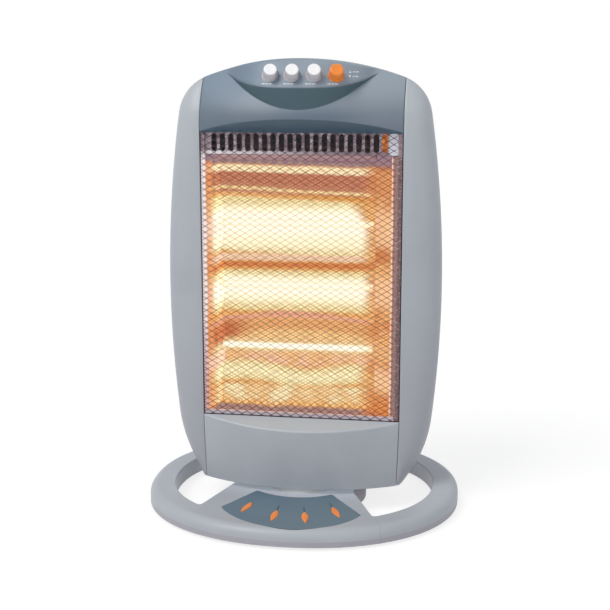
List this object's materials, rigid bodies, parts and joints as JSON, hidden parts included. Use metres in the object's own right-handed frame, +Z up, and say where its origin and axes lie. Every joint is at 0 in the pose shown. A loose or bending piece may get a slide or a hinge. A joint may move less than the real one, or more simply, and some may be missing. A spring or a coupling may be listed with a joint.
{
  "type": "halogen heater",
  "caption": "Upright oscillating halogen heater: rounded head with quartz lamps behind a wire guard, push buttons on top, on an oval swing base.",
  "frame": {"origin": "centre of the oval base on the floor, on the swing axis", "axes": "+Z up along the swing axis, -Y towards the front (lamps and buttons), +X to the right seen from the front"},
  "size_m": [0.3504, 0.323, 0.4942],
  "materials": {
    "body_plastic": "satin",
    "fascia_plastic": "satin",
    "panel_plastic": "satin",
    "orange_plastic": "gloss",
    "white_plastic": "satin",
    "button_plastic": "gloss",
    "black_plastic": "matte",
    "foot_rubber": "matte",
    "steel": "satin",
    "chrome": "mirror",
    "guard_wire": "satin",
    "reflector_sheet": "mirror",
    "quartz": "gloss",
    "filament": "satin",
    "ceramic": "matte"
  },
  "bodies": {
    "base": {"base_moulding": "body_plastic", "base_panel": "panel_plastic", "panel_drops": "orange_plastic", "base_cover": "black_plastic", "base_feet": "foot_rubber", "base_screws": "steel", "pivot_post": "steel", "post_washer": "steel", "post_nut": "steel", "bearing_ring": "white_plastic", "swing_guide": "steel", "tip_switch": "black_plastic", "cord_inlet": "foot_rubber"},
    "head": {"head_floor": "body_plastic", "swing_motor": "steel", "motor_screws": "steel", "terminal_block": "white_plastic", "rear_shell": "body_plastic", "handle_cup": "fascia_plastic", "shell_screws": "steel", "left_wing": "body_plastic", "right_wing": "body_plastic", "lower_cover": "body_plastic", "control_fascia": "fascia_plastic", "button_bezels": "white_plastic", "switch_bank": "black_plastic", "guard_rim": "chrome", "guard_mesh": "guard_wire", "slot_plate": "reflector_sheet", "reflector": "reflector_sheet", "end_plate_left": "reflector_sheet", "end_plate_right": "reflector_sheet", "lamp_tube_top": "quartz", "lamp_tube_middle": "quartz", "lamp_tube_bottom": "quartz", "filament_top": "filament", "filament_middle": "filament", "filament_bottom": "filament", "lamp_caps": "ceramic", "lamp_clips": "steel", "thermal_cutout": "black_plastic"},
    "swing_crank": {"swing_crank": "steel"},
    "heat_button_1": {"button_heat_1": "button_plastic"},
    "heat_button_2": {"button_heat_2": "button_plastic"},
    "heat_button_3": {"button_heat_3": "button_plastic"},
    "swing_button": {"button_swing": "orange_plastic"},
    "tip_plunger": {"tip_plunger": "white_plastic"}
  },
  "joints": [
    {"name": "head_swing", "type": "hinge", "parent": "base", "child": "head", "pos_m": [0, 0, 0], "axis": [0, 0, 1], "range_deg": [-33, 33]},
    {"name": "crank_turn", "type": "hinge", "parent": "head", "child": "swing_crank", "pos_m": [0, 0.0265, 0.026], "axis": [0, 0, 1], "range_deg": [-98, 98]},
    {"name": "heat_1_push", "type": "slide", "parent": "head", "child": "heat_button_1", "axis": [-0.1736, 0.8352, -0.5219], "range_m": [0, 0.004], "stiffness_N_per_m": 400},
    {"name": "heat_2_push", "type": "slide", "parent": "head", "child": "heat_button_2", "axis": [-0.1736, 0.8352, -0.5219], "range_m": [0, 0.004], "stiffness_N_per_m": 400},
    {"name": "heat_3_push", "type": "slide", "parent": "head", "child": "heat_button_3", "axis": [-0.1736, 0.8352, -0.5219], "range_m": [0, 0.004], "stiffness_N_per_m": 400},
    {"name": "swing_push", "type": "slide", "parent": "head", "child": "swing_button", "axis": [-0.1736, 0.8352, -0.5219], "range_m": [0, 0.004], "stiffness_N_per_m": 400},
    {"name": "tip_drop", "type": "slide", "parent": "base", "child": "tip_plunger", "axis": [0, 0, -1], "range_m": [0, 0.004]}
  ],
  "couplings": [
    {"joint": "crank_turn", "follows": "head_swing", "ratio": -2.95}
  ]
}
